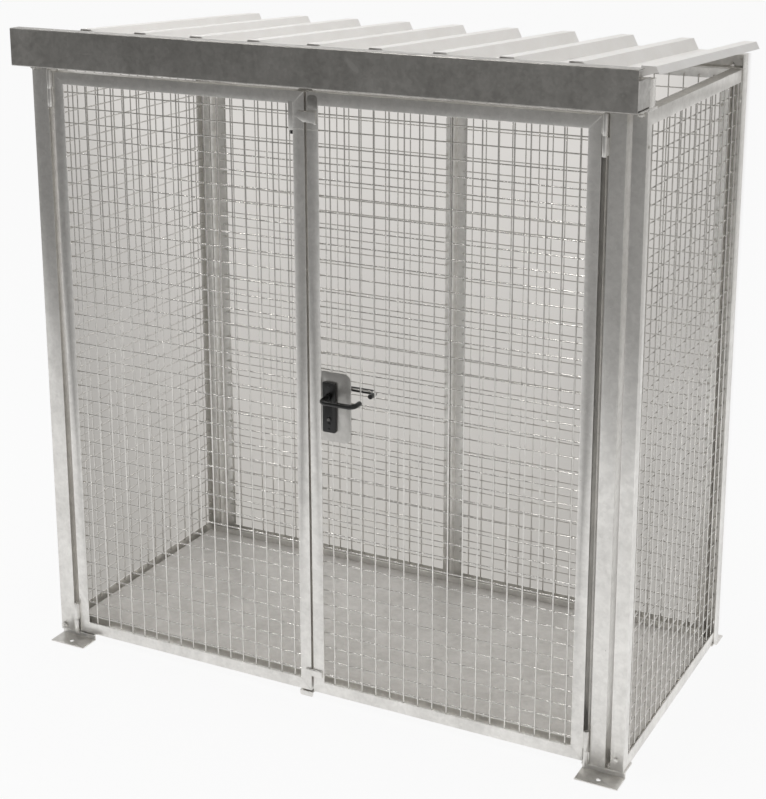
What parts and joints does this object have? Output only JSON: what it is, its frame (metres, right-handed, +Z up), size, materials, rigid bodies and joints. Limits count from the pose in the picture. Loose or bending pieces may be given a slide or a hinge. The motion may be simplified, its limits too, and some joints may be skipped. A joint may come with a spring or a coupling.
{
  "type": "gas cylinder container",
  "caption": "Lockable outdoor store for gas cylinders: galvanised angle frames filled with welded mesh, double hinged doors with a lever lock, deep front fascia and ribbed roof.",
  "frame": {"origin": "on the ground, under the centre of the frame that the four corner posts make, at the centre of the four anchor holes", "axes": "+X to the right as seen from the doors, +Y to the rear, +Z up"},
  "size_m": [2.1288, 1.142, 2.158],
  "materials": {
    "galvanised_steel": "hot-dip galvanised, dull",
    "galvanised_wire": "galvanised wire",
    "roof_sheet": "pale coated ribbed sheet",
    "black_fittings": "black coated handle set"
  },
  "bodies": {
    "structure": {"floor_tray": "galvanised_steel", "foot_front_left": "galvanised_steel", "foot_front_right": "galvanised_steel", "foot_rear_left": "galvanised_steel", "foot_rear_right": "galvanised_steel", "front_beam": "galvanised_steel", "front_fascia": "galvanised_steel", "front_post_left": "galvanised_steel", "front_post_right": "galvanised_steel", "front_sill": "galvanised_steel", "left_hinge_pins": "galvanised_steel", "left_side_cross_wires": "galvanised_wire", "left_side_frame": "galvanised_steel", "left_side_upright_wires": "galvanised_wire", "lower_door_stop": "galvanised_steel", "rear_beam": "galvanised_steel", "rear_left_cross_wires": "galvanised_wire", "rear_left_frame": "galvanised_steel", "rear_left_upright_wires": "galvanised_wire", "rear_post_left": "galvanised_steel", "rear_post_right": "galvanised_steel", "rear_right_cross_wires": "galvanised_wire", "rear_right_frame": "galvanised_steel", "rear_right_upright_wires": "galvanised_wire", "rear_sill": "galvanised_steel", "right_hinge_pins": "galvanised_steel", "right_side_cross_wires": "galvanised_wire", "right_side_frame": "galvanised_steel", "right_side_upright_wires": "galvanised_wire", "roof_sheet_left": "roof_sheet", "roof_sheet_right": "roof_sheet", "top_plate_left": "galvanised_steel", "top_plate_right": "galvanised_steel", "upper_door_stop": "galvanised_steel"},
    "left_door": {"left_door_cross_wires": "galvanised_wire", "left_door_frame": "galvanised_steel", "left_door_upright_wires": "galvanised_wire", "left_hinge_sleeves": "galvanised_steel"},
    "right_door": {"inner_handle_plate": "black_fittings", "lock_case": "galvanised_steel", "lock_plate": "galvanised_steel", "lower_closing_lug": "galvanised_steel", "outer_handle_plate": "black_fittings", "right_door_cross_wires": "galvanised_wire", "right_door_frame": "galvanised_steel", "right_door_upright_wires": "galvanised_wire", "right_hinge_sleeves": "galvanised_steel", "upper_closing_lug": "galvanised_steel"},
    "handle": {"door_lever": "black_fittings"}
  },
  "joints": [
    {"name": "left_door_hinge", "type": "hinge", "parent": "structure", "child": "left_door", "pos_m": [-0.979, -0.494, 1], "axis": [0, 0, -1], "range_deg": [0, 170]},
    {"name": "right_door_hinge", "type": "hinge", "parent": "structure", "child": "right_door", "pos_m": [0.927, -0.494, 1], "axis": [0, 0, 1], "range_deg": [0, 170]},
    {"name": "lever_turn", "type": "hinge", "parent": "right_door", "child": "handle", "pos_m": [0.05, -0.49, 1.063], "axis": [0, 1, 0], "range_deg": [0, 40], "stiffness_Nm_per_rad": 1.5, "springref_deg": -34.38}
  ]
}
